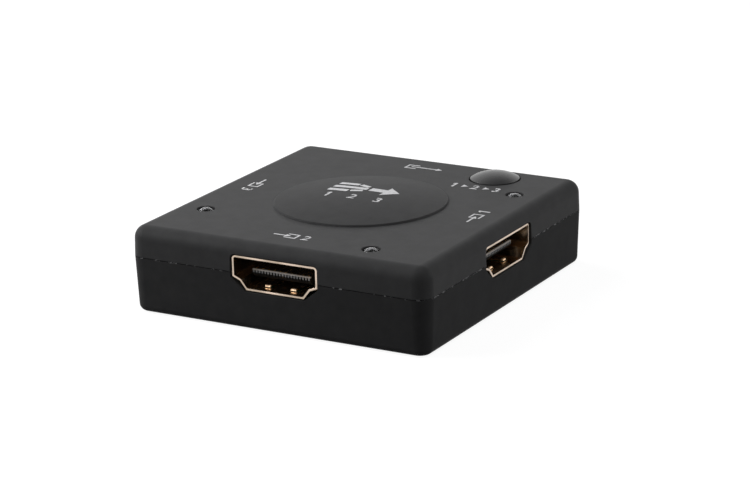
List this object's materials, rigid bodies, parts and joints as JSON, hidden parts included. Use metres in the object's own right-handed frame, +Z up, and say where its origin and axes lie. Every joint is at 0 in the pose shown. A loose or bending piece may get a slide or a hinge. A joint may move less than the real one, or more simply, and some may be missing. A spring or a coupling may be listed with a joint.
{
  "type": "video switch box",
  "caption": "Low square black box with rounded edges, a video socket in the middle of each side, lamp holes, a raised disc and a domed push button on top.",
  "frame": {"origin": "middle of the bottom face's box, on the table", "axes": "+Z up, -Y out of the front socket, +X out of the right-hand socket"},
  "size_m": [0.051, 0.0524, 0.0147],
  "materials": {
    "case_plastic": "black moulded plastic with a fine satin texture",
    "button_plastic": "black moulded plastic, slightly smoother than the case",
    "board_laminate": "green lacquered laminate",
    "screw_steel": "zinc plated steel",
    "plated_shell": "thin gold plating on folded sheet",
    "tongue_plastic": "dark moulded plastic",
    "contact_metal": "gold plated contact strip",
    "lamp_lens": "water clear cast resin",
    "tinned_metal": "tinned metal",
    "chip_plastic": "black moulded resin",
    "small_part_ceramic": "fired ceramic with tinned ends",
    "mark_ink": "pale grey screen print"
  },
  "bodies": {
    "housing": {"upper_case": "case_plastic", "lower_case": "case_plastic", "main_board": "board_laminate", "case_screws": "screw_steel", "input_1_shell": "plated_shell", "input_2_shell": "plated_shell", "input_3_shell": "plated_shell", "output_shell": "plated_shell", "input_1_tongue": "tongue_plastic", "input_2_tongue": "tongue_plastic", "input_3_tongue": "tongue_plastic", "output_tongue": "tongue_plastic", "input_1_contacts": "contact_metal", "input_2_contacts": "contact_metal", "input_3_contacts": "contact_metal", "output_contacts": "contact_metal", "lamp_1": "lamp_lens", "lamp_2": "lamp_lens", "lamp_3": "lamp_lens", "lamp_1_leads": "tinned_metal", "lamp_2_leads": "tinned_metal", "lamp_3_leads": "tinned_metal", "tact_switch_base": "chip_plastic", "tact_switch_cover": "tinned_metal", "tact_switch_dome": "tinned_metal", "tact_switch_terminals": "tinned_metal", "switch_chip": "chip_plastic", "switch_chip_leads": "tinned_metal", "control_chip": "chip_plastic", "control_chip_leads": "tinned_metal", "chip_resistors": "small_part_ceramic", "chip_capacitors": "small_part_ceramic"},
    "button": {"button_cap": "button_plastic"},
    "switch_plunger": {"tact_switch_plunger": "chip_plastic"}
  },
  "joints": [
    {"name": "button_press", "type": "slide", "parent": "housing", "child": "button", "axis": [0, 0, -1], "range_m": [0, 0.00025], "stiffness_N_per_m": 6000},
    {"name": "plunger_press", "type": "slide", "parent": "housing", "child": "switch_plunger", "axis": [0, 0, -1], "range_m": [0, 0.00025], "deforming": ["tact_switch_dome"]}
  ],
  "couplings": [
    {"joint": "plunger_press", "follows": "button_press", "ratio": 1}
  ]
}
